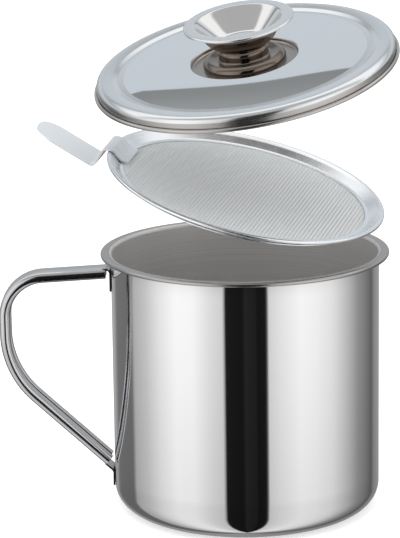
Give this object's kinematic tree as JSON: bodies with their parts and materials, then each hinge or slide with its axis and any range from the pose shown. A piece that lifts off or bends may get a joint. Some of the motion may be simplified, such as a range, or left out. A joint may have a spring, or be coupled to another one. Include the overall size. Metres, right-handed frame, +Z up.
{
  "type": "grease container",
  "caption": "Stainless steel grease pot with a looped strap handle, a lift-out mesh strainer with a finger tab, and a domed lid with a dished knob, all opened up.",
  "frame": {"origin": "centre of the pot's flat base, on the surface it stands on", "axes": "+Z up along the pot's axis, the handle towards -X, the picture looks along +Y"},
  "size_m": [0.1784, 0.1411, 0.2294],
  "materials": {
    "pot_steel": "polished outside, brushed inside",
    "handle_steel": "polished",
    "strainer_steel": "satin",
    "mesh_wire": "fine woven wire",
    "tab_steel": "matte",
    "lid_steel": "polished",
    "knob_steel": "polished, satin flange",
    "knob_dark_steel": "polished",
    "fastener_steel": "plain"
  },
  "bodies": {
    "pot": {"pot_body": "pot_steel", "pot_handle": "handle_steel"},
    "strainer": {"strainer_frame": "strainer_steel", "strainer_mesh": "mesh_wire", "mesh_clamp_ring": "strainer_steel", "strainer_tab": "tab_steel"},
    "lid": {"lid_cover": "lid_steel", "knob_base": "knob_dark_steel", "knob_collar": "knob_dark_steel", "knob_dish": "knob_steel", "knob_insert": "fastener_steel", "knob_screw": "fastener_steel", "knob_washer": "fastener_steel"}
  },
  "joints": [
    {"name": "strainer_lift", "type": "hinge", "parent": "pot", "child": "strainer", "pos_m": [0.08752, -0.06015, 0.1299], "axis": [0.5664, 0.8241, 0], "range_deg": [-15.64, 0]},
    {"name": "lid_lift", "type": "hinge", "parent": "strainer", "child": "lid", "pos_m": [-0.1283, -0.01828, 0.17512], "axis": [0.0953, -0.977, -0.1907], "range_deg": [-23.9, 0]}
  ]
}
